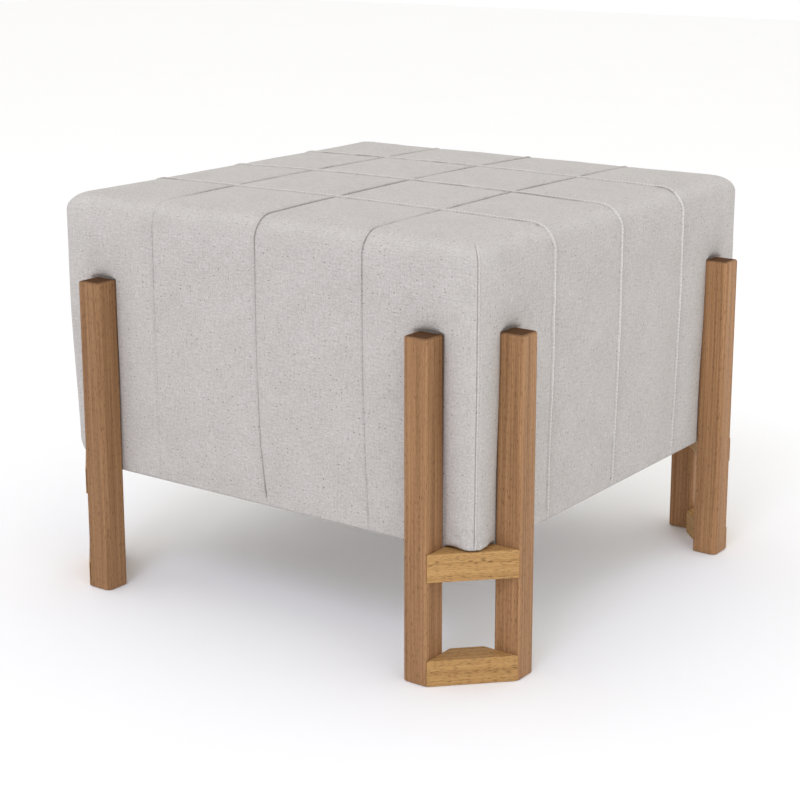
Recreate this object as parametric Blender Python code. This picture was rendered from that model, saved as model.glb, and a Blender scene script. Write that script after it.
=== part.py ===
"""Cube pouf stool: a pin-tucked, filled cube held at its corners by eight posts and eight blocks.

Metres, +Z up. The origin is on the floor, under the middle of the cube. The wide side in front
is -Y, and +X is the side to its right. The stool is the same at all four corners.
"""

import math

import bmesh
import bpy
import numpy as np
from mathutils import Matrix

# Driving dimensions
GAP = 0.0003              # kept between pieces that touch
SPREAD = 0.600            # from the outer face of one post to that of the opposite one
POST_SIZE = 0.030         # side of a post's square section
POST_HEIGHT = 0.355
POST_ROUND_EDGE = 0.0070  # rounding of a post's outer edge on the side away from the corner
POST_EDGE = 0.0030        # rounding of its other three upright edges
POST_TOP_EDGE = 0.0025    # rounding round its top
WOOD_EDGE = 0.0010        # softened foot edges of the posts, and all edges of the blocks
CORNER_FACE = 0.2335      # from the middle to the face of a post that looks at its corner
FOOT_BLOCK_HEIGHT = 0.0275
BEARER_HEIGHT = 0.0295
BLOCK_DEPTH = 0.0294      # of a block, square to its 45 degree front
BEARER_TOP = 0.1390       # the cube's corners rest at this height

CUBE_WIDTH = 0.553
CUBE_TOP = 0.4465         # level of the top where it starts to roll over the edge
CROWN = 0.0040            # extra height at the middle of the top
TOP_ROLL = 0.026          # radius of the rolled top edge
FOOT_ROLL = 0.010         # radius of the bottom edge
CORNER_ROLL = 0.010       # radius of the upright corners
CORNER_ROLL_TOP = 0.018   # radius of the same corners, in plan, where the top turns flat
CORNER_ROLL_FOOT = 0.011
DRAW_IN = 0.0040          # the sides are this much further in at the foot
DRAW_IN_START = 0.340     # height below which they draw in
UNDERSIDE_SAG = 0.0035    # the underside hangs this much lower between the blocks
SAG_RISE = 0.060          # the sag has died out this far up the side
CHANNELS = 4              # between the tucks, each way
TUCK_HALF = 0.0025        # from a tuck's crest to its root, on either side
TUCK_RAISE = 0.0018
SWELL = 0.0016            # of the cloth between two tucks
PRESS_MARGIN = 0.0015     # the cloth lies back this much wider than the post that presses it
PRESS_EASE = 0.0065       # and comes forward again over this width

# Worked out from them
CUBE_HALF = CUBE_WIDTH / 2
TUCK_PITCH = CUBE_WIDTH / CHANNELS
POST_OUTER = SPREAD / 2
POST_INNER = POST_OUTER - POST_SIZE
POST_MIDDLE = CORNER_FACE - POST_SIZE / 2
PRESS_PLANE = POST_INNER - GAP
CUBE_FOOT = BEARER_TOP + GAP
HALF_ROLL = math.pi / 4   # a rolled edge turns this far on each of its two faces

# Where the plain box is cut between its features, as shares of a width or a height
CUTS_IN_CHANNEL = (1 / 3, 2 / 3)
CUT_BESIDE_TUCK = 1.18
CUTS_IN_ROLL = (0.66, 0.33)
CUT_IN_CORNER = 0.68
CUTS_IN_SIDE = (0.08, 0.26, 0.50, 0.76)
LEAST_CORNER = 0.02       # share of its radius that a ring's corner keeps near the middle
ON_FACE = 0.00001         # a point this near to a face of the plain box lies on it

CLOTH_SMOOTH = math.radians(50)   # faces that meet at less than this are shaded as one
WOOD_SMOOTH = math.radians(35)

TAN_WOOD = (0.330, 0.168, 0.080, 1.0)
YELLOW_WOOD = (0.462, 0.262, 0.108, 1.0)
OATMEAL_CLOTH = (0.560, 0.535, 0.500, 1.0)


def clear_objects():
    for old in list(bpy.data.objects):
        bpy.data.objects.remove(old, do_unlink=True)


def principled(name, colour, roughness):
    material = bpy.data.materials.new(name)
    material.use_nodes = True
    shader = material.node_tree.nodes["Principled BSDF"]
    shader.inputs["Base Color"].default_value = colour
    shader.inputs["Roughness"].default_value = roughness
    shader.inputs["Metallic"].default_value = 0.0
    material.diffuse_color = colour
    return material


def add_object(name, mesh, material, smooth_angle):
    """Make one named object of a mesh, shaded smooth up to the given angle."""
    if not mesh.materials:
        mesh.materials.append(material)
    mesh.shade_smooth()
    mesh.set_sharp_from_angle(angle=smooth_angle)
    made = bpy.data.objects.new(name, mesh)
    bpy.context.scene.collection.objects.link(made)
    return made


def mesh_of(bm, name):
    mesh = bpy.data.meshes.new(name)
    bm.to_mesh(mesh)
    bm.free()
    return mesh


# ---------------------------------------------------------------- the filled cube

def ease(t):
    """Smooth step from 0 to 1."""
    t = np.clip(t, 0.0, 1.0)
    return t * t * (3.0 - 2.0 * t)


def cut_places_across():
    """Places along X, and along Y, where the box is cut: tucks, dents, rolls and a few between."""
    tuck = [TUCK_HALF, TUCK_PITCH - TUCK_HALF, TUCK_PITCH, TUCK_PITCH + TUCK_HALF]
    swell = [TUCK_PITCH * part for part in CUTS_IN_CHANNEL + (CUT_BESIDE_TUCK,)]
    inside = POST_MIDDLE - POST_SIZE / 2 - PRESS_MARGIN
    outside = CORNER_FACE + PRESS_MARGIN
    dent = [inside - PRESS_EASE, inside, outside, outside + PRESS_EASE]
    roll = [CUBE_HALF - TOP_ROLL * part for part in CUTS_IN_ROLL]
    half = tuck + swell + dent + roll + [CUBE_HALF - CORNER_ROLL * CUT_IN_CORNER]
    return sorted([-place for place in half] + [0.0] + half)


def cut_places_up():
    """Heights where the box is cut: the two rolls, the tops of the dents and a few between."""
    foot_roll = [CUBE_FOOT + FOOT_ROLL / 2, CUBE_FOOT + FOOT_ROLL]
    dent_end = POST_HEIGHT + PRESS_MARGIN
    dent = [dent_end, dent_end + PRESS_EASE / 2, dent_end + PRESS_EASE]
    top_roll = [CUBE_TOP - TOP_ROLL * part for part in (1.0,) + CUTS_IN_ROLL]
    side = [foot_roll[-1] + (dent_end - foot_roll[-1]) * part for part in CUTS_IN_SIDE]
    above_dent = (dent[-1] + top_roll[0]) / 2
    return sorted(foot_roll + side + dent + top_roll + [above_dent])


def cut_box():
    """A plain box of the cube's size, cut into a grid by planes at the places above."""
    bm = bmesh.new()
    size = Matrix.Diagonal((CUBE_WIDTH, CUBE_WIDTH, CUBE_TOP - CUBE_FOOT, 1.0))
    middle = Matrix.Translation((0.0, 0.0, (CUBE_TOP + CUBE_FOOT) / 2))
    bmesh.ops.create_cube(bm, size=1.0, matrix=middle @ size)
    across, up = cut_places_across(), cut_places_up()
    cuts = [((place, 0, 0), (1, 0, 0)) for place in across]
    cuts += [((0, place, 0), (0, 1, 0)) for place in across]
    cuts += [((0, 0, place), (0, 0, 1)) for place in up]
    for point, normal in cuts:
        everything = bm.verts[:] + bm.edges[:] + bm.faces[:]
        bmesh.ops.bisect_plane(bm, geom=everything, dist=1e-6, plane_co=point, plane_no=normal)
    return bm


def roll_sections(reach, height):
    """Turn the box's square rings into the rings of the filled form.

    reach is how far out a point's ring is, and height is its level. Both edges of the side are
    quarter circles, of which the flat face takes one half and the side the other. The third
    result is the radius of the ring's corners in plan.
    """
    upper = height > DRAW_IN_START    # which of the two rolls is the nearer one
    roll = np.where(upper, TOP_ROLL, FOOT_ROLL)
    from_end = np.where(upper, CUBE_TOP - height, height - CUBE_FOOT)
    inner = CUBE_HALF - roll
    turned = HALF_ROLL * (np.clip((reach - inner) / roll, 0, 1) + np.clip(from_end / roll, 0, 1))
    ring = np.minimum(reach, inner) + roll * np.sin(turned)
    level_top = np.minimum(height, CUBE_TOP - TOP_ROLL) + TOP_ROLL * np.cos(turned)
    level_foot = np.maximum(height, CUBE_FOOT + FOOT_ROLL) - FOOT_ROLL * np.cos(turned)
    ring -= DRAW_IN * ease((DRAW_IN_START - height) / (DRAW_IN_START - CUBE_FOOT)) * reach / CUBE_HALF
    flat_corner = np.where(upper, CORNER_ROLL_TOP, CORNER_ROLL_FOOT)
    corner = CORNER_ROLL + (flat_corner - CORNER_ROLL) * (1.0 - np.sin(turned))
    corner *= np.clip((reach - TUCK_PITCH) / (inner - TUCK_PITCH), LEAST_CORNER, 1.0)
    return ring, np.where(upper, level_top, level_foot), corner


def pressed(along, height):
    """How fully a post presses the cloth back: 1 behind the post, 0 well beside and above it."""
    beside = np.abs(along - POST_MIDDLE) - POST_SIZE / 2 - PRESS_MARGIN
    above = height - POST_HEIGHT - PRESS_MARGIN
    return (1.0 - ease(beside / PRESS_EASE)) * (1.0 - ease(above / PRESS_EASE))


def filled_form(box_points):
    """Move the cut box's points on to the crowned, rolled and drawn-in cube, without its tucks."""
    x, y, height = box_points.T
    reach = np.maximum(np.abs(x), np.abs(y))
    along = np.minimum(np.abs(x), np.abs(y))
    ring, level, corner = roll_sections(reach, height)

    # The columns up to the straight one stay plumb. Those outside it close up, where a ring rolls in.
    outward = ease((ring - CUBE_HALF + TOP_ROLL) / (TOP_ROLL - DRAW_IN))
    straight = TUCK_PITCH + TUCK_HALF + (CORNER_FACE + PRESS_MARGIN - TUCK_PITCH) * outward
    room = np.maximum(reach - straight, 1e-6)
    closed_up = straight + (along - straight) * (ring - straight) / room
    along = np.where(along > straight, closed_up, along)

    turned = HALF_ROLL * np.clip((along - (ring - corner)) / corner, 0.0, 1.0)
    side_place = np.where(turned > 0, ring - corner + corner * np.sin(turned), along)
    out_place = ring - corner + corner * np.cos(turned)
    out_place -= pressed(along, height) * np.maximum(out_place - PRESS_PLANE, 0.0)

    crown = (1.0 - (x / CUBE_HALF) ** 2) * (1.0 - (y / CUBE_HALF) ** 2)
    level += CROWN * crown * (height > CUBE_TOP - ON_FACE)
    off_blocks = ease((CORNER_FACE - POST_SIZE + CUBE_HALF - reach - along) / SAG_RISE)
    level -= UNDERSIDE_SAG * off_blocks * (1.0 - ease((height - CUBE_FOOT) / SAG_RISE))

    x_leads = np.abs(x) >= np.abs(y)
    new_x = np.sign(x) * np.where(x_leads, out_place, side_place)
    new_y = np.sign(y) * np.where(x_leads, side_place, out_place)
    return np.stack([new_x, new_y, level], axis=1)


def tuck_and_swell(place):
    """Shape of the cloth along one axis, each from 0 to 1: the tucks' ridges, and the swell."""
    from_tuck = np.abs(place - TUCK_PITCH * np.round(place / TUCK_PITCH))
    at_a_tuck = np.abs(place) < TUCK_PITCH * (CHANNELS - 1) / 2
    ridge = np.where(at_a_tuck, np.clip(1.0 - from_tuck / TUCK_HALF, 0.0, 1.0), 0.0)
    part = np.abs(place) / TUCK_PITCH % 1.0
    return ridge, 4.0 * part * (1.0 - part)


def cloth_raise(box_points):
    """How far each point is raised: the tucks cross on top, and run down the sides to the foot."""
    x, y, height = box_points.T
    ridge_x, swell_x = tuck_and_swell(x)
    ridge_y, swell_y = tuck_and_swell(y)
    on_x_side = np.abs(x) > CUBE_HALF - ON_FACE
    on_y_side = np.abs(y) > CUBE_HALF - ON_FACE
    ridge = np.maximum(np.where(on_x_side, 0.0, ridge_x), np.where(on_y_side, 0.0, ridge_y))
    swell = np.where(on_x_side, 1.0, swell_x) * np.where(on_y_side, 1.0, swell_y)
    swell = np.where(on_x_side & on_y_side, 0.0, swell)
    fade = ease((height - CUBE_FOOT) / FOOT_ROLL)
    free = 1.0 - pressed(np.minimum(np.abs(x), np.abs(y)), height) * (on_x_side | on_y_side)
    return (TUCK_RAISE * ridge + SWELL * swell) * fade * free


def build_pouf(material):
    bm = cut_box()
    box_points = np.array([vertex.co[:] for vertex in bm.verts])
    for vertex, place in zip(bm.verts, filled_form(box_points)):
        vertex.co = place
    bm.normal_update()
    normals = np.array([vertex.normal[:] for vertex in bm.verts])
    raised = cloth_raise(box_points)[:, None] * normals
    for vertex, lift in zip(bm.verts, raised):
        vertex.co = np.array(vertex.co) + lift
    return add_object("pouf", mesh_of(bm, "pouf"), material, CLOTH_SMOOTH)


# ---------------------------------------------------------------- the wooden posts and blocks

def rise(edge):
    return abs(edge.verts[0].co.z - edge.verts[1].co.z)


def post_mesh(away):
    """A square post on the floor, its section centred on the origin and its outer face at -Y.

    away is the side along X, -1 or 1, on which its outer edge looks away from the corner.
    """
    bm = bmesh.new()
    size = Matrix.Diagonal((POST_SIZE, POST_SIZE, POST_HEIGHT, 1.0))
    bmesh.ops.create_cube(bm, size=1.0, matrix=Matrix.Translation((0, 0, POST_HEIGHT / 2)) @ size)
    upright = [edge for edge in bm.edges if rise(edge) > POST_HEIGHT / 2]
    rounder = [edge for edge in upright if edge.verts[0].co.x * away > 0 > edge.verts[0].co.y]
    crisper = [edge for edge in upright if edge not in rounder]
    bmesh.ops.bevel(bm, geom=rounder, offset=POST_ROUND_EDGE, segments=6, profile=0.5, affect="EDGES")
    bmesh.ops.bevel(bm, geom=crisper, offset=POST_EDGE, segments=3, profile=0.5, affect="EDGES")
    ends = [edge for edge in bm.edges if rise(edge) < ON_FACE]
    top = [edge for edge in ends if edge.verts[0].co.z > POST_HEIGHT / 2]
    foot = [edge for edge in ends if edge not in top]
    bmesh.ops.bevel(bm, geom=top, offset=POST_TOP_EDGE, segments=3, profile=0.5, affect="EDGES")
    bmesh.ops.bevel(bm, geom=foot, offset=WOOD_EDGE, segments=1, profile=0.5, affect="EDGES")
    return mesh_of(bm, "post")


def block_mesh(height):
    """A mitred block of one height for the -Y, +X corner, on the floor.

    In plan it is a trapezium: the long front lies at 45 degrees between the two posts, and each
    end lies along the face of a post and runs on past it to the short back.
    """
    end_face = CORNER_FACE + GAP
    front = POST_OUTER
    back = POST_OUTER - BLOCK_DEPTH * math.sqrt(2)
    plan = [(end_face, -front), (front, -end_face), (back, -end_face), (end_face, -back)]
    bm = bmesh.new()
    base = bm.faces.new([bm.verts.new((x, y, 0.0)) for x, y in plan])
    grown = bmesh.ops.extrude_face_region(bm, geom=[base])
    top = [item for item in grown["geom"] if isinstance(item, bmesh.types.BMVert)]
    bmesh.ops.translate(bm, verts=top, vec=(0, 0, height))
    bmesh.ops.recalc_face_normals(bm, faces=bm.faces)
    bmesh.ops.bevel(bm, geom=bm.edges[:], offset=WOOD_EDGE, segments=2, profile=0.5, affect="EDGES")
    return mesh_of(bm, "block")


def quarter_turns():
    """Each side with the sides before and after it, and the angle from the front on to it."""
    sides = ("front", "right", "back", "left")
    turns = []
    for turn, side in enumerate(sides):
        turns.append((sides[turn - 1], side, sides[(turn + 1) % 4], turn * math.pi / 2))
    return turns


def build_posts(material):
    """Each side has one post near either end, named by the side and the end that it is near."""
    meshes = {away: post_mesh(away) for away in (-1, 1)}
    depth_middle = POST_OUTER - POST_SIZE / 2
    for side_before, side, side_after, angle in quarter_turns():
        for end, toward in ((side_after, 1), (side_before, -1)):
            post = add_object(f"post_{side}_{end}", meshes[-toward], material, WOOD_SMOOTH)
            start = Matrix.Translation((toward * POST_MIDDLE, -depth_middle, 0.0))
            place = Matrix.Rotation(angle, 4, "Z") @ start
            post.location = place.to_translation()
            post.rotation_euler = (0.0, 0.0, angle)


def build_blocks(material):
    """Each corner has a foot block on the floor and a bearer block under the cube."""
    kinds = (("foot_block", 0.0, FOOT_BLOCK_HEIGHT),
             ("bearer_block", BEARER_TOP - BEARER_HEIGHT, BEARER_HEIGHT))
    for kind, level, height in kinds:
        mesh = block_mesh(height)
        for _, side, side_after, angle in quarter_turns():
            block = add_object(f"{kind}_{side}_{side_after}", mesh, material, WOOD_SMOOTH)
            block.location = (0.0, 0.0, level)
            block.rotation_euler = (0.0, 0.0, angle)


clear_objects()
build_pouf(principled("oatmeal_cloth", OATMEAL_CLOTH, 0.90))
build_posts(principled("tan_wood", TAN_WOOD, 0.48))
build_blocks(principled("yellow_wood", YELLOW_WOOD, 0.48))
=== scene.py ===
"""Cube pouf stool, dressed: the pin-tucked linen cover with its stitches, and the oiled wood.

Metres, +Z up, in the CAD model's frame: the origin is on the floor under the middle of the cube,
the wide side in front is -Y, and +X is the side to its right. The cover is worked out on the same
plain box as the CAD cube, with most of its sizes, but on a much finer grid and with real tucks.
"""
import math

import bpy
import numpy as np
from mathutils import Matrix


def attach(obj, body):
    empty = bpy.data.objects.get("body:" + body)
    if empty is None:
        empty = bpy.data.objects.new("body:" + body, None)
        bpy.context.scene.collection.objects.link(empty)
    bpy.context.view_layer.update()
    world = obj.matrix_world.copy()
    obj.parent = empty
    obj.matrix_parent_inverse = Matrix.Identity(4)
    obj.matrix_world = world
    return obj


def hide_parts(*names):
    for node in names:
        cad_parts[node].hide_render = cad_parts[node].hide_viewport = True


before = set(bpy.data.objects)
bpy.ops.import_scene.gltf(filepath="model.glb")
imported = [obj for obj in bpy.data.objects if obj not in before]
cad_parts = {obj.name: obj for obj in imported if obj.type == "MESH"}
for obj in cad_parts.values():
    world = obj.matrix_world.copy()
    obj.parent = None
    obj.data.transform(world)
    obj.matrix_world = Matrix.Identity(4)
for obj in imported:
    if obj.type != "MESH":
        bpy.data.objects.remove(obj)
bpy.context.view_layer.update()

# -------- sizes shared with the CAD part
POST_SIZE = 0.030
POST_HEIGHT = 0.355
POST_OUTER = 0.300  # from the middle to the outer face of a post
CORNER_FACE = 0.2335  # from the middle to the face of a post that looks at its corner
POST_MIDDLE = CORNER_FACE - POST_SIZE / 2
PRESS_PLANE = 0.2697  # the cloth lies this far out behind a post

CUBE_HALF = 0.2765
CUBE_TOP = 0.4465
CUBE_FOOT = 0.1393
CROWN = 0.0040
TOP_ROLL = 0.026
CORNER_ROLL = 0.010
DRAW_IN = 0.0040  # the sides are this much further in at the foot
DRAW_IN_START = 0.340
UNDERSIDE_SAG = 0.0035
SAG_RISE = 0.060
LEAST_CORNER = 0.02  # share of its radius that a ring's corner keeps near the middle
HALF_ROLL = math.pi / 4  # a rolled edge turns this far on each of its two faces
ON_FACE = 0.00001  # a point this near to a face of the plain box lies on it
TUCK_PITCH = CUBE_HALF / 2
TUCK_HALF = 0.0025
SIDE_DROP = CUBE_TOP - CUBE_FOOT

# -------- the cover's own sizes
PRESS_MARGIN = 0.0006  # the cloth lies back this much wider than the post that presses it
PRESS_EASE = 0.0035  # and comes forward again over this width
PRESS_RISE = 0.0080  # or over this much more above the middle of the post
ROLL_AT_CORNER = 0.020  # the top edge is tighter at its corners
FOOT_ROLL = 0.0040
CORNER_ROLL_TOP = 0.012  # radius of the corners in plan, where the top turns flat
CORNER_ROLL_FOOT = 0.020
CORNER_ROLL_SOFT = 0.036  # at the foot of the three corners away from the photo's near one
CORNER_RISE = 0.024  # height above the foot over which those grow rounder
SAG_START = 0.4915  # |x| + |y| at the back of a block, inside which the underside sags
SAG_EDGE = 0.012
SAG_BEHIND_POST = 0.0012

TUCK_PLACES = (-TUCK_PITCH, 0.0, TUCK_PITCH)
TUCK_CLEAR = 0.004  # a tuck stops this far above the foot
TUCK_FADE = 0.012
SIDE_WAY = 0.265  # the way at which a tuck turns down a side
SIDE_TURN = 0.020
FLAP_WIDTH = {"x": 0.0032, "y": 0.0043}  # a tuck is pressed over, towards +X or +Y, this wide
FLAP_RISE = 0.0013  # width of its rounded root
FLAP_HEIGHT = 0.0017
LIP_EDGE = 0.0005  # the folded edge turns down over this width
LIP_SLIDE = 0.0007  # and overhangs by this much
LIP_GROOVE = 0.0011  # depth of the dark line under it
LINE_WIDTH = 0.0006  # of the groove, the needle line and the other fine lines
ROOT_GROOVE = {"x": 0.0001, "y": 0.0006}  # depth of the needle line at the flap's root
ROOT_SHADE = {"x": 0.0, "y": 0.75}
BEYOND_SHADE = {"x": 0.0, "y": 0.38}  # on the sides, just past the folded edge
ON_TOP = {"x": 0.90, "y": 1.0}  # share of a flap's height that shows on the top
FLAP_HIGHLIGHT = {"x": 0.12, "y": 1.0}  # painted highlight on a tuck's raised flap: how much paler its cloth is drawn
LEAST_FLAP = {"x": 0.22, "y": 0.75}  # share of a flap's height left where its line fades
FLAP_WAVE = 0.045  # its height, its line and its painted highlight waver over these lengths
LINE_WAVE = 0.017
HIGHLIGHT_WAVE = 0.11
CROSSING_HALF = 0.0055  # a tuck that passes under another one is flat over this width
STITCH_FROM_LIP = {"x": 0.0014, "y": 0.0019}
SEAM_GROOVE = 0.0011  # of the plain seam up each corner
SEAM_STITCH = 0.0031  # topstitching, from the seam
SEAM_OVER_TOP = 0.012  # the seam runs on over the top's edge by this much

GRID_STEP = 0.0085  # widest step of the cover's grid
COARSE_STEP = 0.0093  # the grid of the cloth simulation
START_INSIDE = 0.0004  # it starts this far inside the cover's form
PANEL_SOFT = 0.0005  # and this uneven
FILL_PRESSURE = 4.0
FILL_FRAMES = 20
CLOTH_STIFFNESS = 40.0
CLOTH_BENDING = 2.0
EXTRA_CLOTH = 0.0006  # the cover is cut this much too large, as a share
MOST_FILL = 0.0030

HEM_RISE = (0.0022, 0.0034)  # of the hem near a post, on the two sides of a corner seam
HEM_SCALLOP = 0.0006
HEM_WAVE = 0.0042
HEM_SHADE = 0.80
POST_TOP_SHADE = 0.34  # in the fold over a post's top
CORNER_PAINTED_LIGHT = 0.12  # painted light on the cloth between the posts of a corner, which they shade
EDGE_HIGHLIGHT = 0.20  # painted highlight along the rolled top edge
FOOT_GATHER = 0.0010  # small puckers round the cover's foot
GATHER_WAVE = 0.011
GATHER_RISE = 0.014
FOOT_CRINKLE = 0.0050  # creases where a corner stands on its block
CRINKLE_WAVES = (0.0058, 0.0105)
CRINKLE_MIDDLE = 0.010  # they are deepest this far above the foot
CRINKLE_RISE = 0.024
FEWER_CRINKLES = 0.35  # their share at the other three corners

END_RIM = 0.50  # share of an end's dark tone that is left at its worn rim

STITCH_PITCH = 0.0040
STITCH_LENGTH = 0.0027
STITCH_THICK = 0.00050
RING_PLACES = (0.0, 0.08, 0.30, 0.70, 0.92, 1.0)  # of a stitch's rings, as shares of its length
RING_SIDES = 6


def unit(t):
    """Hold t between 0 and 1."""
    return np.clip(t, 0.0, 1.0)


def ease(t):
    """Smooth step: 3 t^2 - 2 t^3, held at 0 and 1 outside them."""
    t = unit(t)
    return t * t * (3.0 - 2.0 * t)


def bell(distance, width):
    """A rounded bump of height 1: e to the power of minus the square of distance over width."""
    return np.exp(-(distance / width) ** 2)


def wander(along, shortest, start):
    """A wavering line between about -1 and 1: four sines whose lengths don't divide each other."""
    waves = ((1.0, 0.22), (1.73, 0.27), (3.11, 0.31), (5.37, 0.20))
    total = 0.0
    for turn, (length, share) in enumerate(waves):
        total = total + share * np.sin(2 * math.pi * along / (shortest * length) + start + 2.4 * turn)
    return total


def folded(box):
    """How far out points of the box lie, and how far along their side, with all corners on one."""
    x, y = np.abs(box[:, 0]), np.abs(box[:, 1])
    return np.maximum(x, y), np.minimum(x, y)


def stitched_side(x, y):
    """True on the side of each corner that carries its topstitching, the same way all round."""
    return np.where(x * y < 0, np.abs(x) >= np.abs(y), np.abs(x) < np.abs(y))


def near_corner(x, y):
    """True in the quarter of the cube whose corner is the near one in the photo."""
    return (x > 0) & (y < 0)


def to_tuck(values):
    """Distance to the nearest tuck's place."""
    return np.min([np.abs(values - place) for place in TUCK_PLACES], axis=0)


def on_sides(box):
    """True on the two sides that face X, and on the two that face Y."""
    return np.abs(box[:, :2]).T > CUBE_HALF - ON_FACE


# -------- the filled cube's base form

def roll_sections(reach, along, height, soft):
    """Turn the box's square rings into those of the filled form: half width, level, corner radius.

    Both edges of a side are quarter circles, of which the flat face takes one half and the side
    the other. The sides draw in below DRAW_IN_START, and the underside with them outside its
    tucks. The radius of a soft corner grows towards the foot with the square of the depth.
    """
    upper = height > DRAW_IN_START
    top_roll = TOP_ROLL + (ROLL_AT_CORNER - TOP_ROLL) * ease((along - 0.190) / 0.080)
    roll = np.where(upper, top_roll, FOOT_ROLL)
    from_end = np.where(upper, CUBE_TOP - height, height - CUBE_FOOT)
    inner = CUBE_HALF - roll
    turned = HALF_ROLL * (unit((reach - inner) / roll) + unit(from_end / roll))
    ring = np.minimum(reach, inner) + roll * np.sin(turned)
    level_top = np.minimum(height, CUBE_TOP - top_roll) + top_roll * np.cos(turned)
    level_foot = np.maximum(height, CUBE_FOOT + FOOT_ROLL) - FOOT_ROLL * np.cos(turned)
    past_tuck = (reach - TUCK_PITCH - TUCK_HALF) / (CUBE_HALF - TUCK_PITCH - TUCK_HALF)
    drawn = ease((DRAW_IN_START - height) / (DRAW_IN_START - CUBE_FOOT))
    ring -= DRAW_IN * drawn * unit(past_tuck)
    flat_corner = np.where(upper, CORNER_ROLL_TOP, CORNER_ROLL_FOOT)
    corner = CORNER_ROLL + (flat_corner - CORNER_ROLL) * (1.0 - np.sin(turned))
    rounder = soft * unit(1.0 - from_end / CORNER_RISE) ** 2 * ~upper
    corner += (CORNER_ROLL_SOFT - corner) * rounder
    corner *= np.clip((reach - TUCK_PITCH) / (inner - TUCK_PITCH), LEAST_CORNER, 1.0)
    return ring, np.where(upper, level_top, level_foot), corner


def pressed(along, height):
    """How fully a post presses the cloth back: 1 behind the post, 0 well beside and above it.

    Above the post the cloth comes forward over a height that is largest over its middle.
    """
    off_middle = np.abs(along - POST_MIDDLE)
    beside = off_middle - POST_SIZE / 2 - PRESS_MARGIN
    over_middle = unit(1.0 - (off_middle / (POST_SIZE / 2)) ** 2)
    above = unit((height - POST_HEIGHT) / (PRESS_EASE + PRESS_RISE * over_middle))
    return (1.0 - ease(beside / PRESS_EASE)) * (1.0 - above) ** 2


def filled_form(box):
    """Move points of the plain box on to the crowned, rolled and drawn-in cube, without tucks."""
    x, y, height = box.T
    reach, along = folded(box)
    ring, level, corner = roll_sections(reach, along, height, ~near_corner(x, y))

    outward = ease((ring - CUBE_HALF + TOP_ROLL) / (TOP_ROLL - DRAW_IN))
    straight = TUCK_PITCH + TUCK_HALF + (CORNER_FACE + PRESS_MARGIN - TUCK_PITCH) * outward
    room = np.maximum(reach - straight, 1e-6)
    closed_up = straight + (along - straight) * (ring - straight) / room
    along = np.where(along > straight, closed_up, along)

    turned = HALF_ROLL * unit((along - (ring - corner)) / corner)
    side_place = np.where(turned > 0, ring - corner + corner * np.sin(turned), along)
    out_place = ring - corner + corner * np.cos(turned)
    out_place -= pressed(along, height) * np.maximum(out_place - PRESS_PLANE, 0.0)

    crown = (1.0 - (x / CUBE_HALF) ** 2) * (1.0 - (y / CUBE_HALF) ** 2)
    level += CROWN * crown * (height > CUBE_TOP - ON_FACE)
    off_blocks = np.maximum(ease((SAG_START - reach - along) / SAG_EDGE),
                            ease((CORNER_FACE - along) / SAG_BEHIND_POST))
    level -= UNDERSIDE_SAG * off_blocks * (1.0 - ease((height - CUBE_FOOT) / SAG_RISE))

    x_leads = np.abs(x) >= np.abs(y)
    new_x = np.sign(x) * np.where(x_leads, out_place, side_place)
    new_y = np.sign(y) * np.where(x_leads, side_place, out_place)
    return np.stack([new_x, new_y, level], axis=1)


# -------- the tucks

# How deep the line under each tuck's folded edge is, in percent, at these places along its way. A
# way is in millimetres over the cube from the middle of the top: up one side, across and down again.
WAY_STATIONS = (-585, -520, -440, -360, -310, -275, -235, -200, -165, -120, -70, -20, 30, 60, 100,
                165, 200, 235, 275, 310, 360, 440, 520, 585)
LIP_DEPTHS = {  # (axis that the tuck stands across, its number): one depth a station
    ("x", 0): (6, 8, 15, 28, 40, 3, 2, 60, 80, 55, 50, 50, 80, 55, 30, 60, 40, 20, 50, 65, 45, 30,
               20, 15),
    ("x", 1): (80, 45, 28, 38, 60, 95, 100, 100, 95, 100, 100, 100, 35, 25, 80, 50, 70, 60, 90, 70,
               45, 35, 40, 50),
    ("x", 2): (22, 20, 26, 34, 60, 90, 30, 8, 45, 66, 70, 72, 82, 82, 72, 55, 40, 25, 65, 80, 50,
               35, 28, 25),
    ("y", 0): (50, 60, 55, 60, 70, 70, 90, 60, 50, 50, 45, 60, 55, 50, 60, 55, 60, 75, 60, 55, 55,
               60, 65, 70),
    ("y", 1): (45, 50, 60, 70, 65, 55, 60, 45, 50, 60, 55, 50, 75, 80, 60, 95, 95, 50, 55, 50, 50,
               55, 55, 60),
    ("y", 2): (55, 60, 50, 55, 60, 50, 65, 70, 75, 60, 65, 70, 55, 60, 50, 45, 55, 60, 90, 75, 55,
               55, 60, 60),
}
# How far a tuck strays from its straight line, in millimetres, where the eye can see it.
LEAN_STATIONS = (-700, -585, -555, -520, -440, -160, -120, 0, 120, 160, 440, 520, 585, 700)
LEANS = {
    ("x", 0): (0, -5, -5, -5, -5, -4.5, -4.5, -2, 1, 0, 0, 0, -1, 0),
    ("x", 1): (0, 9, 4.5, 1, 0, 0, 1.2, 0, -1, 1, 0, 0, 2, 0),
    ("x", 2): (0, 5, 3, 1, 0, -1, 1, -1, 1, -1, 0, 0, -2, 0),
    ("y", 0): (0, 1, 0, 0, 0, 1, -1, 1, 0, 1, 1, 1, 3, 0),
    ("y", 1): (0, -1, 0, 0, 0, 0, 1, 0, -1, 0, -1, 0, -2, 0),
    ("y", 2): (0, 2, 1, 1, 0, -1, 1, 1, 0, 0, -1, -1, -3, 0),
}
LEAN_SPREAD = 0.030  # cloth on both sides of a tuck follows it this far
NO_WAY = 9.0  # the way on a face that has no tucks of that family


def lean_of(across, way, axis):
    """Sideways move of the cloth near each leaning tuck: its lean, spread as a bell."""
    total = np.zeros_like(across)
    for number, place in enumerate(TUCK_PLACES):
        lean = np.interp(way * 1000, LEAN_STATIONS, LEANS[axis, number], left=0.0, right=0.0)
        total += lean / 1000 * bell(across - place, LEAN_SPREAD)
    return total


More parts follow.
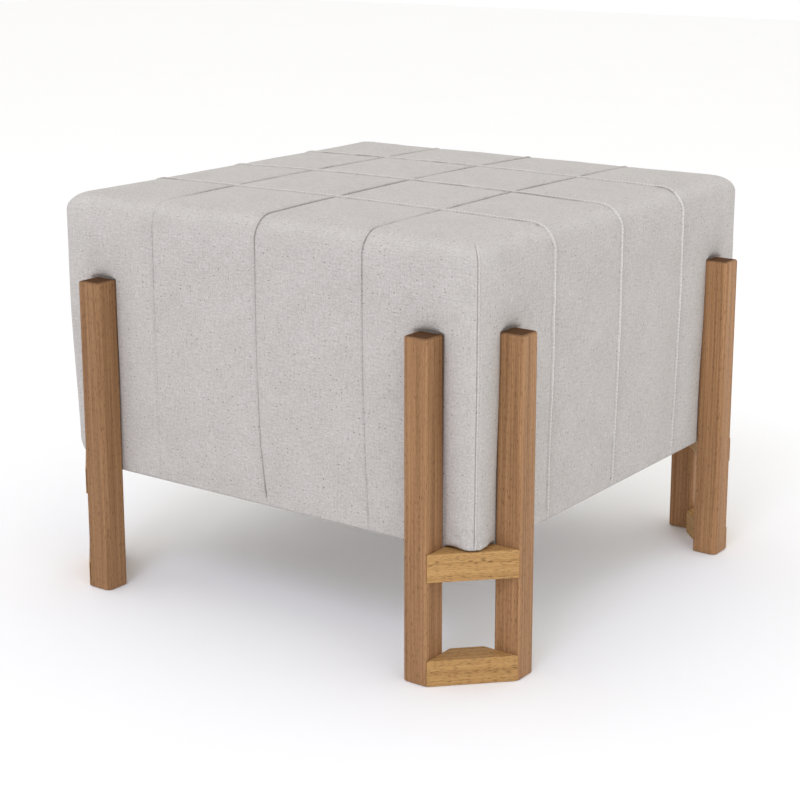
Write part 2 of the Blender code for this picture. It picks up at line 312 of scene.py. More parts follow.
def crossing_gap(way, axis):
    """1 along a tuck, and 0 where one of the x family passes under the tucks that cross it."""
    if axis == "y":
        return np.ones_like(way)
    return ease(to_tuck(way) / CROSSING_HALF - 0.35)


def tuck_section(across, way, axis):
    """Lift, sideways slide, painted shade and painted highlight of the tucks of one family.

    Along a line across the tuck the cloth rises over FLAP_RISE from a shallow needle line, stays
    up for the width of the flap, and ends in a folded edge that overhangs a narrow groove.
    """
    lift, slide, shade, pale = (np.zeros_like(across) for _ in range(4))
    width, least, off_middle = FLAP_WIDTH[axis], LEAST_FLAP[axis], np.abs(way)
    ends = ease((CUBE_HALF + SIDE_DROP - TUCK_CLEAR - off_middle) / TUCK_FADE)
    there = ends * crossing_gap(way, axis)
    on_side = ease((off_middle - SIDE_WAY) / SIDE_TURN)
    flatter = 1.0 - (1.0 - ON_TOP[axis]) * (1.0 - on_side)
    # How strongly the painted highlight on the flaps shows along the way: half on the top, full where
    # it turns down the sides, less again low down
    highlit = 0.5 + 0.5 * ease((off_middle - 0.20) / 0.08)
    highlit *= 1.0 - 0.65 * ease((off_middle - 0.38) / 0.16)
    for number, place in enumerate(TUCK_PLACES):
        from_lip = across - place
        from_root = from_lip + width
        depth = np.interp(way * 1000, WAY_STATIONS, LIP_DEPTHS[axis, number], left=0.0, right=0.0)
        depth = unit(depth * (1.0 + 0.30 * wander(way, LINE_WAVE, 2.0 * number)) / 100)
        fullness = there * (0.86 + 0.14 * wander(way, FLAP_WAVE, number + 3.0 * (axis == "y")))
        risen = ease(from_root / FLAP_RISE) * (1.0 - ease((from_lip + 0.0001) / LIP_EDGE))
        lift += FLAP_HEIGHT * (least + (1.0 - least) * depth) * fullness * risen * flatter
        lift -= LIP_GROOVE * depth * there * bell(from_lip - 0.0006, LINE_WIDTH)
        lift -= ROOT_GROOVE[axis] * fullness * bell(from_root + 0.0003, LINE_WIDTH)
        slide += LIP_SLIDE * depth * fullness * bell(from_lip + 0.0002, LINE_WIDTH)

        # Painted shade: a dark needle line at the flap's root, strongest on the top, a dark line in
        # the groove under the folded edge, and on the sides a painted shadow just past that edge
        needle = ROOT_SHADE[axis] * (0.25 + 0.75 * ease((depth - 0.60) / 0.20))
        needle *= 1.3 - 1.1 * on_side
        at_root = bell(from_root - 0.0001 + 0.0004 * on_side, 0.0015 - 0.0009 * on_side)
        beyond = BEYOND_SHADE[axis] * bell(from_lip - 0.0026, 0.0014)
        shade += depth * there * bell(from_lip - 0.0005, LINE_WIDTH) * flatter
        shade += (needle * at_root + beyond * on_side) * fullness
        # Painted highlight on the raised flap, uneven along its way and kept off the needle line
        uneven_highlight = highlit * unit(0.80 + 0.45 * wander(way, HIGHLIGHT_WAVE, number + 1.0))
        pale += fullness * risen * FLAP_HIGHLIGHT[axis] * uneven_highlight * unit(1.0 - needle * at_root)
    return lift, slide, shade, pale


# -------- the cover's grid

def filled_in(places, step):
    """Sorted places, with even steps put in wherever two neighbours are further apart than step."""
    places = np.unique(np.round(places, 7))
    runs = [np.linspace(a, b, max(1, math.ceil((b - a) / step - 1e-6)), endpoint=False)
            for a, b in zip(places[:-1], places[1:])]
    return np.append(np.concatenate(runs), places[-1])


def places_across():
    """Grid lines along X, and along Y: close at the tucks, dents, rolls and corners."""
    near_tuck = np.array([-8.0, -6.2, -5.4, -5.0, -4.6, -4.2, -3.7, -3.2, -2.6, -1.9, -1.4, -0.7,
                          -0.3, 0.0, 0.2, 0.45, 0.75, 1.2, 2.4, 4.0]) / 1000
    tucks = np.concatenate([place + near_tuck for place in TUCK_PLACES])
    inside = POST_MIDDLE - POST_SIZE / 2 - PRESS_MARGIN
    outside = CORNER_FACE + PRESS_MARGIN
    dents = np.concatenate([np.linspace(inside - PRESS_EASE, inside, 4),
                            np.linspace(outside, outside + PRESS_EASE, 4)])
    rolls = np.array([26.0, 22.0, 18.0, 14.5, 12.0, 10.3, 8.8, 7.4, 6.2, 5.2, 4.3, 3.7, 3.1,
                      2.5, 1.8, 1.2, 0.7, 0.3, 0.0]) / 1000
    behind_post = CORNER_FACE - SAG_BEHIND_POST * np.array([0.0, 0.5, 1.0])
    ends = np.concatenate([dents, behind_post, CUBE_HALF - rolls])
    return filled_in(np.concatenate([-ends, tucks, ends]), GRID_STEP)


def places_up():
    """Grid lines up the sides: close at the two rolls and at the tops of the posts."""
    foot = CUBE_FOOT + np.concatenate([FOOT_ROLL * np.linspace(0.0, 1.0, 6),
                                       np.linspace(FOOT_ROLL, 1.9 * CRINKLE_RISE, 17)])
    shares = np.array([-0.12, 0.0, 0.1, 0.2, 0.32, 0.46, 0.62, 0.8, 1.0])
    dent = POST_HEIGHT + (PRESS_EASE + PRESS_RISE) * shares
    top = CUBE_TOP - TOP_ROLL * np.linspace(0.0, 1.0, 9)
    return filled_in(np.concatenate([foot, dent, top]), GRID_STEP)


def face_grids(across, up):
    """The box's six faces, each as arrays over its two parameters.

    For each face: its box points, where it lies in the cover's flat plan, its place along the ways
    of the two families of tucks, and whether its grid has to be turned over to face outwards.
    """
    drop = CUBE_TOP - up
    grids = {}
    for name, axis, sign in (("front", "y", -1), ("back", "y", 1), ("left", "x", -1),
                             ("right", "x", 1)):
        a, h = np.meshgrid(across, up, indexing="ij")
        out = np.full_like(a, sign * CUBE_HALF)
        way = sign * (CUBE_HALF + np.broadcast_to(drop, a.shape))
        none = np.full_like(a, NO_WAY)
        if axis == "y":
            grids[name] = dict(points=(a, out, h), plan=(a, way), ways=(way, none), turned=sign > 0)
        else:
            grids[name] = dict(points=(out, a, h), plan=(way, a), ways=(none, way), turned=sign < 0)
    a, b = np.meshgrid(across, across, indexing="ij")
    top, foot = np.full_like(a, CUBE_TOP), np.full_like(a, CUBE_FOOT)
    grids["top"] = dict(points=(a, b, top), plan=(a, b), ways=(b, a), turned=False)
    under = [np.where(c < 0, -1, 1) * (2 * CUBE_HALF + SIDE_DROP - np.abs(c)) for c in (b, a)]
    grids["under"] = dict(points=(a, b, foot), plan=(a + 2.0, b), ways=tuple(under), turned=True)
    return grids


def welded(grids):
    """Join the six grids at their shared edges into one closed surface.

    Points that are the same on the box become one. Each grid keeps the numbers of its points, and
    the faces come out as rows of four, turned outwards.
    """
    stacked = np.concatenate([np.stack([p.ravel() for p in g["points"]], 1) for g in grids.values()])
    keys = np.round(stacked * 1e7).astype(np.int64)
    _, first, number = np.unique(keys, axis=0, return_index=True, return_inverse=True)
    number = number.ravel()
    low, high = slice(None, -1), slice(1, None)
    faces, plans, start = [], [], 0
    for grid in grids.values():
        shape = grid["points"][0].shape
        ids = number[start:start + shape[0] * shape[1]].reshape(shape)
        start += ids.size
        grid["ids"] = ids
        order = ((low, low), (high, low), (high, high), (low, high))
        if grid["turned"]:
            order = order[::-1]
        faces.append(np.stack([ids[o].ravel() for o in order], 1))
        plans.append(np.stack([np.stack([c[o].ravel() for c in grid["plan"]], 1) for o in order], 1))
    ways = np.concatenate([np.stack([w.ravel() for w in g["ways"]], 1) for g in grids.values()])
    return stacked[first], ways[first], np.concatenate(faces), np.concatenate(plans)


def surface_normals(points, faces):
    """Normals at the points: the cross products of the faces' diagonals, summed at each corner."""
    corners = points[faces]
    across = np.cross(corners[:, 2] - corners[:, 0], corners[:, 3] - corners[:, 1])
    total = np.zeros_like(points)
    for corner in range(4):
        np.add.at(total, faces[:, corner], across)
    return total / np.maximum(np.linalg.norm(total, axis=1, keepdims=True), 1e-12)


# -------- filling the cover out

def held_places(box):
    """True where the cover is held: at its tucks, its corner seams, its foot and its posts."""
    x, y, height = box.T
    on_x_side, on_y_side = on_sides(box)
    held = ((to_tuck(x) < ON_FACE) & ~on_x_side) | ((to_tuck(y) < ON_FACE) & ~on_y_side)
    held |= on_x_side & on_y_side
    behind_post = pressed(folded(box)[1], height) > 0.02
    return held | (height < CUBE_FOOT + ON_FACE) | (behind_post & (on_x_side | on_y_side))


def blown_up(start, faces, held):
    """Points of a cloth after a short simulation with air pressing from inside, and no weight."""
    mesh = mesh_from("filling_trial", start, faces)
    trial = linked("filling_trial", mesh)
    scene = bpy.context.scene
    trial.vertex_groups.new(name="held").add(np.flatnonzero(held).tolist(), 1.0, "REPLACE")
    cloth = trial.modifiers.new("cloth", "CLOTH")
    cloth.settings.vertex_group_mass = "held"
    cloth.settings.quality = 5
    cloth.settings.tension_stiffness = cloth.settings.compression_stiffness = CLOTH_STIFFNESS
    cloth.settings.bending_stiffness = CLOTH_BENDING
    cloth.settings.shrink_min = -EXTRA_CLOTH
    cloth.settings.use_pressure = True
    cloth.settings.uniform_pressure_force = FILL_PRESSURE
    cloth.settings.effector_weights.gravity = 0.0
    cloth.point_cache.frame_start, cloth.point_cache.frame_end = 1, FILL_FRAMES
    for number in range(1, FILL_FRAMES + 1):
        scene.frame_set(number)
    ended = np.empty(start.size, np.float32)
    trial.evaluated_get(bpy.context.evaluated_depsgraph_get()).data.vertices.foreach_get("co", ended)
    bpy.data.objects.remove(trial)
    bpy.data.meshes.remove(mesh)
    scene.frame_set(1)
    return ended.reshape(-1, 3).astype(float)


def spline_matrix(fine, coarse):
    """Weights that carry values at the coarse places over to the fine ones by a natural cubic spline.

    Between two places the value is a y0 + b y1 + ((a^3 - a) m0 + (b^3 - b) m1) h^2 / 6, where m is
    the second derivative, found at all places together from h0 m0 + 2 (h0 + h1) m1 + h1 m2.
    """
    count, step = len(coarse), np.diff(coarse)
    before, after, inner = step[:-1], step[1:], np.arange(1, count - 1)
    left, right = np.eye(count), np.zeros((count, count))
    left[inner, inner - 1], left[inner, inner + 1] = before, after
    left[inner, inner] = 2 * (before + after)
    right[inner, inner - 1], right[inner, inner + 1] = 6 / before, 6 / after
    right[inner, inner] = -6 / before - 6 / after
    bent = np.linalg.solve(left, right)
    at = np.clip(np.searchsorted(coarse, fine, side="right") - 1, 0, count - 2)
    a = ((coarse[at + 1] - fine) / step[at])[:, None]
    b = 1.0 - a
    same = np.eye(count)
    curve = ((a ** 3 - a) * bent[at] + (b ** 3 - b) * bent[at + 1]) * (step[at] ** 2 / 6)[:, None]
    return a * same[at] + b * same[at + 1] + curve


def filled_out(across, up, grids, box):
    """How far each point of the cover moves when the filling pushes it out between its tucks.

    A coarser copy of the same six grids is simulated, and its moves are carried over to the fine
    grids face by face. No point moves further than about MOST_FILL.
    """
    coarse_across = filled_in(np.array([-CUBE_HALF, *TUCK_PLACES, CUBE_HALF]), COARSE_STEP)
    coarse_up = filled_in(np.array([CUBE_FOOT, CUBE_FOOT + 0.010, POST_HEIGHT + 0.003,
                                    CUBE_TOP - 0.013, CUBE_TOP]), COARSE_STEP)
    coarse_grids = face_grids(coarse_across, coarse_up)
    places, _, faces, _ = welded(coarse_grids)
    x, y, height = places.T
    start = filled_form(places)
    soft = wander(x + 0.6 * y, 0.075, 0.0) * wander(y - 0.4 * x + height, 0.090, 1.7)
    start += (PANEL_SOFT * soft - START_INSIDE)[:, None] * surface_normals(start, faces)
    moved = blown_up(start, faces, held_places(places)) - filled_form(places)
    length = np.linalg.norm(moved, axis=1, keepdims=True)
    moved *= MOST_FILL * np.tanh(length / MOST_FILL) / np.maximum(length, 1e-9)
    filling = np.zeros_like(box)
    to_across, to_up = spline_matrix(across, coarse_across), spline_matrix(up, coarse_up)
    for name, grid in grids.items():
        second = to_across if name in ("top", "under") else to_up
        carried = np.einsum("ai,ijk,bj->abk", to_across, moved[coarse_grids[name]["ids"]], second,
                            optimize=True)
        filling[grid["ids"].ravel()] = carried.reshape(-1, 3)
    return filling


# -------- the cover's surface

def corner_seam(box):
    """Lift, painted shade and painted highlight of the plain seams up the four corners.

    Distance is counted from the corner line, and is positive on the side that carries the
    topstitching.
    """
    x, y, height = box.T
    reach, along = folded(box)
    signed = np.where(stitched_side(x, y), reach - along, along - reach)
    upto = ease((reach - CUBE_HALF + SEAM_OVER_TOP) / 0.006) * ease((height - CUBE_FOOT) / 0.006)
    on_top = height > CUBE_TOP - ON_FACE
    beside = bell(signed - 0.0018, 0.0010)
    lift = -SEAM_GROOVE * bell(signed, 0.0007) + 0.0005 * beside * ~on_top
    lift -= 0.0004 * bell(signed - SEAM_STITCH - 0.0002, LINE_WIDTH) * ~on_top
    past_stitches = bell(signed - SEAM_STITCH - 0.0006, LINE_WIDTH)
    # Painted shade in the seam's groove and just past the topstitching; painted highlight on the
    # cloth just beside the seam, and on the top beside its other side too
    shade = 0.6 * bell(signed, LINE_WIDTH) + 0.35 * past_stitches * ~on_top
    pale = 0.45 * beside + 0.35 * bell(signed + 0.0016, 0.0008) * on_top
    return lift * upto, shade * upto, pale * upto


def hem_rise(box):
    """How far the hem between the two posts of a corner stands up off the block, with scallops."""
    x, y, height = box.T
    reach, along = folded(box)
    stitched, from_corner = stitched_side(x, y), reach - along
    rise = np.where(stitched, HEM_RISE[1] * ease((from_corner - 0.016) / 0.020),
                    HEM_RISE[0] * bell(from_corner - 0.029, 0.012))
    scallop = 1.0 + wander(np.where(stitched, from_corner, -from_corner), HEM_WAVE, 1.3)
    rise = rise + HEM_SCALLOP * scallop * bell(from_corner, 0.016)
    near_edge = ease((reach - CUBE_HALF + 0.010) / 0.008) * (1.0 - ease((height - CUBE_FOOT) / 0.014))
    return rise * near_edge * ease((along - CORNER_FACE) / 0.003)


def foot_creases(box, round_side, between_posts):
    """Lift of the puckers round the foot, and of the creases where a corner stands on its block."""
    x, y, height = box.T
    rise = height - CUBE_FOOT
    gather = wander(round_side, GATHER_WAVE, np.sign(x + y)) * bell(rise, GATHER_RISE)
    crinkle = wander(height + 0.45 * round_side, CRINKLE_WAVES[0], 0.7)
    crinkle *= wander(round_side - 0.3 * height, CRINKLE_WAVES[1], 2.9)
    crinkle *= between_posts * bell(rise - CRINKLE_MIDDLE, CRINKLE_RISE)
    crinkle *= np.where(near_corner(x, y), 1.0, FEWER_CRINKLES)
    return FOOT_GATHER * gather + FOOT_CRINKLE * crinkle


def cover_surface(box, ways, faces, filling):
    """Points of the finished cover, and how much painted shade and painted highlight each has.

    The base form takes the filling's moves, is moved along its normals by the tucks, the corner
    seams and the creases at its foot, and has its hem raised. Behind the posts the cloth stays
    pressed flat.
    """
    x, y, height = box.T
    reach, along = folded(box)
    on_x_side, on_y_side = on_sides(box)
    on_side = on_x_side | on_y_side
    way_x, way_y = ways.T
    lift_x, slide_x, shade_x, highlight_x = tuck_section(x, way_x, "x")
    lift_y, slide_y, shade_y, highlight_y = tuck_section(y, way_y, "y")
    moved = box.copy()
    moved[:, 0] += np.where(on_x_side, 0.0, slide_x + lean_of(x, way_x, "x"))
    moved[:, 1] += np.where(on_y_side, 0.0, slide_y + lean_of(y, way_y, "y"))

    free = ease((height - CUBE_FOOT) / FOOT_ROLL) * (1.0 - pressed(along, height) * on_side)
    base = filled_form(moved) + filling * free[:, None]
    round_side = np.where(on_x_side, y, x)
    between_posts = ease((np.abs(round_side) - CORNER_FACE) / 0.008)
    seam_lift, seam_shade, seam_highlight = corner_seam(box)
    lift = foot_creases(box, round_side, between_posts) * free
    lift += np.where(np.abs(lift_x) > np.abs(lift_y), lift_x, lift_y) + seam_lift
    raised = base + lift[:, None] * surface_normals(base, faces)
    raised[:, 2] += hem_rise(box)

    off_post = (along - POST_MIDDLE) / (0.6 * POST_SIZE)
    over_post = unit(1.0 - off_post ** 2) * bell(height - POST_HEIGHT + 0.001, 0.0070)
    at_hem = (0.4 + 0.6 * between_posts) * bell(height - CUBE_FOOT - 0.0004, 0.0016)
    shade = np.maximum(shade_x, shade_y) + seam_shade
    shade += (POST_TOP_SHADE * over_post + HEM_SHADE * at_hem) * on_side
    # Painted light on the cloth between the posts of each corner, where the posts shade it, and a
    # painted highlight along the rolled top edge
    down_the_roll = (CUBE_TOP - height) - (CUBE_HALF - reach)
    painted_light = CORNER_PAINTED_LIGHT * between_posts * on_side + EDGE_HIGHLIGHT * bell(down_the_roll + 0.003, 0.012)
    pale = highlight_x + highlight_y + seam_highlight + painted_light
    return raised, unit(shade), unit(pale)


def mesh_from(name, points, faces):
    """A mesh of four-sided faces from two arrays."""
    mesh = bpy.data.meshes.new(name)
    mesh.vertices.add(len(points))
    mesh.vertices.foreach_set("co", points.astype(np.float32).ravel())
    mesh.loops.add(faces.size)
    mesh.loops.foreach_set("vertex_index", faces.astype(np.int32).ravel())
    mesh.polygons.add(len(faces))
    mesh.polygons.foreach_set("loop_start", np.arange(0, faces.size, faces.shape[1], dtype=np.int32))
    mesh.update(calc_edges=True)
    mesh.validate()
    mesh.shade_smooth()
    return mesh


def linked(name, data):
    """A new object that holds data, in the scene."""
    made = bpy.data.objects.new(name, data)
    bpy.context.scene.collection.objects.link(made)
    return made


def add_piece(name, mesh, material):
    """Put a finished mesh in the scene as a piece that stands on the part's one body."""
    mesh.materials.append(material)
    piece = linked(name, mesh)
    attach(piece, "root")
    return piece


# -------- stitches

def even_places(points, normals, pitch):
    """Places at an even pitch along a line of points, with the normals and directions there."""
    steps = np.linalg.norm(np.diff(points, axis=0), axis=1)
    reached = np.concatenate([[0.0], np.cumsum(steps)])
    count = int(reached[-1] / pitch)
    at = (np.arange(count) + 0.5) * reached[-1] / count

    def pick(values, where):
        return np.stack([np.interp(where, reached, v) for v in values.T], 1)

    heading = pick(points, at + 0.0005) - pick(points, at - 0.0005)
    heading /= np.linalg.norm(heading, axis=1, keepdims=True)
    normal = pick(normals, at)
    normal -= heading * np.sum(normal * heading, axis=1, keepdims=True)
    normal /= np.linalg.norm(normal, axis=1, keepdims=True)
    return pick(points, at), normal, heading


def stitch_row(points, normals):
    """One row of stitches, each a short bead of thread that dives into the cloth at both ends.

    A stitch is a tube of rings. Its radius is that of the thread times the square root of
    1 - (2t - 1)^4, with t from 0 to 1 along it, and its middle bows up out of the cloth.
    """
    centre, normal, heading = even_places(points, normals, STITCH_PITCH)
    sideways = np.cross(heading, normal)
    t = np.array(RING_PLACES)
    angle = np.arange(RING_SIDES) * 2 * math.pi / RING_SIDES
    radius = STITCH_THICK * np.sqrt(np.maximum(1.0 - (2 * t - 1) ** 4, 0.0))
    bow = STITCH_THICK * (0.45 - 1.1 * (2 * t - 1) ** 4)
    along = STITCH_LENGTH * (t - 0.5)
    ring_up = radius[:, None] * np.sin(angle) * 0.8 + bow[:, None]
    ring_side = radius[:, None] * np.cos(angle)
    spread = (v[:, None, None, :] for v in (centre, normal, heading, sideways))
    centre, normal, heading, sideways = spread
    return (centre + along[:, None, None] * heading + ring_up[:, :, None] * normal
            + ring_side[:, :, None] * sideways)


def thread_mesh(name, rows):
    """All stitches as one mesh: the rings of each are joined, and its two end rings are points."""
    spots = np.concatenate([stitch_row(*row) for row in rows])
    count, rings, sides, _ = spots.shape
    inner = spots[:, 1:-1].reshape(count, -1, 3)
    points = np.concatenate([inner, spots[:, [0, -1], 0]], axis=1)
    each = points.shape[1]
    ring = np.arange((rings - 2) * sides).reshape(rings - 2, sides)
    after = np.roll(ring, -1, axis=1)
    tubes = np.stack([ring[:-1], ring[1:], after[1:], after[:-1]], -1).reshape(-1, 4)
    first, last = np.full(sides, each - 2), np.full(sides, each - 1)
    caps = np.concatenate([np.stack([first, ring[0], after[0]], -1),
                           np.stack([last, after[-1], ring[-1]], -1)])
    start = (np.arange(count) * each)[:, None, None]
    faces = (start + tubes).reshape(-1, 4).tolist() + (start + caps).reshape(-1, 3).tolist()
    mesh = bpy.data.meshes.new(name)
    mesh.from_pydata(points.reshape(-1, 3).tolist(), [], faces)
    mesh.validate()
    mesh.shade_smooth()
    return mesh


def tuck_rows(grids, across, up, points, normals, axis):
    """The rows of stitches on three tucks: up one side, over the top and down the opposite one."""
    before, after = {"x": ("front", "back"), "y": ("left", "right")}[axis]
    top = grids["top"]["ids"] if axis == "x" else grids["top"]["ids"].T
    clear = up > CUBE_FOOT + 0.8 * FOOT_ROLL
    rows = []
    for place in TUCK_PLACES:
        line = np.argmin(np.abs(across - place + STITCH_FROM_LIP[axis]))
        rise = grids[before]["ids"][line][clear]
        fall = grids[after]["ids"][line][clear][::-1]
        ids = np.concatenate([rise, top[line][1:-1], fall])
        rows.append((points[ids], normals[ids]))
    return rows


def seam_rows(grids, across, up, points, normals):
    """The topstitching beside the four corner seams."""
    low = np.argmin(np.abs(across + CUBE_HALF - SEAM_STITCH))
    high = np.argmin(np.abs(across - CUBE_HALF + SEAM_STITCH))
    clear = (up > CUBE_FOOT + 0.003) & (up < CUBE_TOP - 0.75 * TOP_ROLL)
    sides = (("right", low), ("back", high), ("left", high), ("front", low))
    ids = [grids[side]["ids"][line][clear] for side, line in sides]
    return [(points[i], normals[i]) for i in ids]


# -------- shader building

def feed(tree, node, values):
    """Give a node's inputs their values: a socket is linked, and anything else is set."""
    for key, value in values.items():
        if isinstance(value, bpy.types.NodeSocket):
            tree.links.new(value, node.inputs[key])
        else:
            node.inputs[key].default_value = value
    return node


def add_node(tree, kind, values=None, **settings):
    """A new shader node with its settings and inputs."""
    node = tree.nodes.new("ShaderNode" + kind)
    for name, value in settings.items():
        setattr(node, name, value)
    return feed(tree, node, values or {})


def calc(tree, operation, *values):
    return add_node(tree, "Math", dict(enumerate(values)), operation=operation).outputs[0]


def times(tree, first, second):
    return calc(tree, "MULTIPLY", first, second)


def weighted(tree, *pairs):
    """The sum of some values, each times its own share."""
    terms = [times(tree, value, share) for value, share in pairs]
    total = terms[0]
    for term in terms[1:]:
        total = calc(tree, "ADD", total, term)
    return total


def ramp(tree, value, low, high, to_low=0.0, to_high=1.0):
    """Map a value from low..high to another range, held at its ends."""
    values = dict(enumerate((value, low, high, to_low, to_high)))
    return add_node(tree, "MapRange", values, clamp=True).outputs[0]


def parts_of(tree, vector):
    return add_node(tree, "SeparateXYZ", {0: vector}).outputs


def stretched(tree, vector, scale, offset=(0.0, 0.0, 0.0)):
    """A vector with its three parts multiplied by scale, then moved by offset."""
    values = {"Vector": vector, "Scale": scale, "Location": offset}
    return add_node(tree, "Mapping", values).outputs[0]


def noise(tree, vector, scale, detail=2.0, roughness=0.5, distortion=0.0):
    values = {"Vector": vector, "Scale": scale, "Detail": detail, "Roughness": roughness,
              "Distortion": distortion}
    return add_node(tree, "TexNoise", values).outputs[0]


def mix(tree, share, first, second, blend="MIX"):
    node = add_node(tree, "Mix", data_type="RGBA", blend_type=blend)
    return feed(tree, node, {0: share, 6: first, 7: second}).outputs[2]


def bumped(tree, height, strength, distance):
    values = {"Height": height, "Strength": strength, "Distance": distance}
    return add_node(tree, "Bump", values).outputs[0]


def object_place(tree):
    return add_node(tree, "TexCoord").outputs["Object"]


def start_group(name, inputs, outputs):
    """A shader node group whose sockets have these labels and kinds."""
    tree = bpy.data.node_groups.new(name, "ShaderNodeTree")
    for direction, sockets in (("INPUT", inputs), ("OUTPUT", outputs)):
        for label, kind in sockets.items():
            tree.interface.new_socket(label, in_out=direction, socket_type="NodeSocket" + kind)
    return tree, tree.nodes.new("NodeGroupInput").outputs, tree.nodes.new("NodeGroupOutput")


def use_group(tree, group, values):
    return feed(tree, add_node(tree, "Group", node_tree=group), values).outputs


def start_material(name):
    material = bpy.data.materials.new(name)
    material.use_nodes = True
    tree = material.node_tree
    return material, tree, tree.nodes["Principled BSDF"]


def linen_group():
    """Plain linen weave on a flat plan in metres.

    Two sets of threads cross, each from noise stretched along it. Fine mottle and sparse dark
    flecks lie over them. The height is the tone and the product of two sines, one for each set.
    """
    tree, given, leave = start_group(
        "linen_weave",
        {"Plan": "Vector", "Light Thread": "Color", "Dark Thread": "Color", "Fleck": "Color",
         "Thread Pitch": "Float", "Fleck Share": "Float"},
        {"Color": "Color", "Height": "Float"})
    plan = given["Plan"]
    weft = noise(tree, stretched(tree, plan, (70, 900, 1)), 1.0)
    warp = noise(tree, stretched(tree, plan, (900, 70, 1), (5, 3, 0)), 1.0)
    mottle = noise(tree, plan, 430.0, 4.0, 0.75)
    cloud = noise(tree, plan, 22.0)
    threads = weighted(tree, (weft, 0.55), (warp, 0.45))
    tone = weighted(tree, (threads, 0.40), (mottle, 0.52), (cloud, 0.08))
    colour = mix(tree, ramp(tree, tone, 0.36, 0.64), given["Dark Thread"], given["Light Thread"])

    values = {"Vector": stretched(tree, plan, (150, 250, 1)), "Scale": 1.0}
    cells = add_node(tree, "TexVoronoi", values, voronoi_dimensions="2D", feature="F1").outputs
    size = add_node(tree, "SeparateColor", {0: cells["Color"]}).outputs
    limit = ramp(tree, size[0], 0.45, 1.0, 0.0, 0.17)
    fleck = ramp(tree, calc(tree, "SUBTRACT", limit, cells["Distance"]), -0.01, 0.03)
    fleck = times(tree, fleck, given["Fleck Share"])
    fleck = times(tree, fleck, ramp(tree, size[1], 0.0, 1.0, 0.10, 1.0))
    colour = mix(tree, fleck, colour, given["Fleck"])

    turn = calc(tree, "DIVIDE", math.pi, given["Thread Pitch"])
    waver = times(tree, cloud, 6.0)
    over, under = (calc(tree, "SINE", calc(tree, "ADD", times(tree, part, turn), waver))
                   for part in parts_of(tree, plan)[:2])
    height = calc(tree, "ADD", times(tree, times(tree, over, under), 0.30), tone)
    feed(tree, leave, {"Color": colour, "Height": height})
    return tree


def wood_group():
    """Oiled hardwood with its grain along Z.

    Noise stretched along the grain gives the growth rings, finer noise the fibres, and very long
    noise above a limit the open pores. Across Ends is 1 on ends that are cut across the grain,
    which are dark and dull.
    """
    tree, given, leave = start_group(
        "oiled_wood",
        {"Grain": "Vector", "Across Ends": "Float", "Light": "Color", "Dark": "Color",
         "Pore": "Color", "Pore Share": "Float", "Pore Cut": "Float"},
        {"Color": "Color", "Roughness": "Float", "Height": "Float"})
    grain, ends = given["Grain"], given["Across Ends"]
    bend = noise(tree, stretched(tree, grain, (14, 14, 1.6)), 1.0, 1.0)
    rings = noise(tree, stretched(tree, grain, (260, 190, 2.2)), 1.0, 2.0, 0.5, 0.4)
    fibre = noise(tree, stretched(tree, grain, (560, 560, 5)), 1.0, 3.0, 0.70)
    tone = weighted(tree, (rings, 0.26), (fibre, 0.58), (bend, 0.16))
    colour = mix(tree, ramp(tree, tone, 0.38, 0.62), given["Dark"], given["Light"])
    pores = noise(tree, stretched(tree, grain, (2300, 2300, 150)), 1.0, 1.0)
    patch = ramp(tree, rings, 0.35, 0.65, 0.035, -0.02)
    over_cut = calc(tree, "SUBTRACT", calc(tree, "ADD", pores, patch), given["Pore Cut"])
    pore = times(tree, ramp(tree, over_cut, 0.0, 0.075), given["Pore Share"])
    colour = mix(tree, pore, colour, given["Pore"])
    colour = mix(tree, times(tree, ends, 0.92), colour, given["Pore"])
    rough = calc(tree, "MAXIMUM", ramp(tree, tone, 0.3, 0.7, 0.52, 0.40), ends)
    height = calc(tree, "SUBTRACT", times(tree, tone, 0.5), pore)
    feed(tree, leave, {"Color": colour, "Roughness": rough, "Height": height})
    return tree


def handled_edges_group():
    """Where a post is rubbed pale: near its edges, worked out from its own section.

    All posts have the same section once X and Y are folded on to one corner: the larger of them
    runs across the post's depth and the smaller across its width. The mask is 1 where two of the
    three distances to its faces are small. The rim is 1 near the edges of the post's ends.
    """
    tree, given, leave = start_group("handled_edges", {"Place": "Vector"},
                                     {"Mask": "Float", "Rim": "Float"})
    x, y, z = parts_of(tree, given["Place"])
    far_x, far_y = calc(tree, "ABSOLUTE", x), calc(tree, "ABSOLUTE", y)
    extents = (
        (calc(tree, "MAXIMUM", far_x, far_y), POST_OUTER - POST_SIZE / 2, POST_SIZE / 2),
        (calc(tree, "MINIMUM", far_x, far_y), POST_MIDDLE, POST_SIZE / 2),
        (z, POST_HEIGHT / 2, POST_HEIGHT / 2))
    deep, wide, tall = (
        calc(tree, "SUBTRACT", half, calc(tree, "ABSOLUTE", calc(tree, "SUBTRACT", value, middle)))
        for value, middle, half in extents)
    nearest, farther = calc(tree, "MINIMUM", deep, wide), calc(tree, "MAXIMUM", deep, wide)
    second = calc(tree, "MAXIMUM", nearest, calc(tree, "MINIMUM", farther, tall))
    feed(tree, leave, {"Mask": ramp(tree, second, 0.0006, 0.0034, 1.0, 0.0),
                       "Rim": ramp(tree, nearest, 0.0012, 0.0046, 1.0, 0.0)})
    return tree


LINEN = linen_group()
WOOD = wood_group()
HANDLED_EDGES = handled_edges_group()
TAN_WOOD = {"Light": (0.465, 0.258, 0.124, 1), "Dark": (0.262, 0.130, 0.058, 1),
            "Pore": (0.085, 0.038, 0.016, 1), "Pore Share": 0.75, "Pore Cut": 0.605}
YELLOW_WOOD = {"Light": (0.550, 0.326, 0.128, 1), "Dark": (0.395, 0.216, 0.078, 1),
               "Pore": (0.105, 0.048, 0.018, 1), "Pore Share": 0.85, "Pore Cut": 0.592}


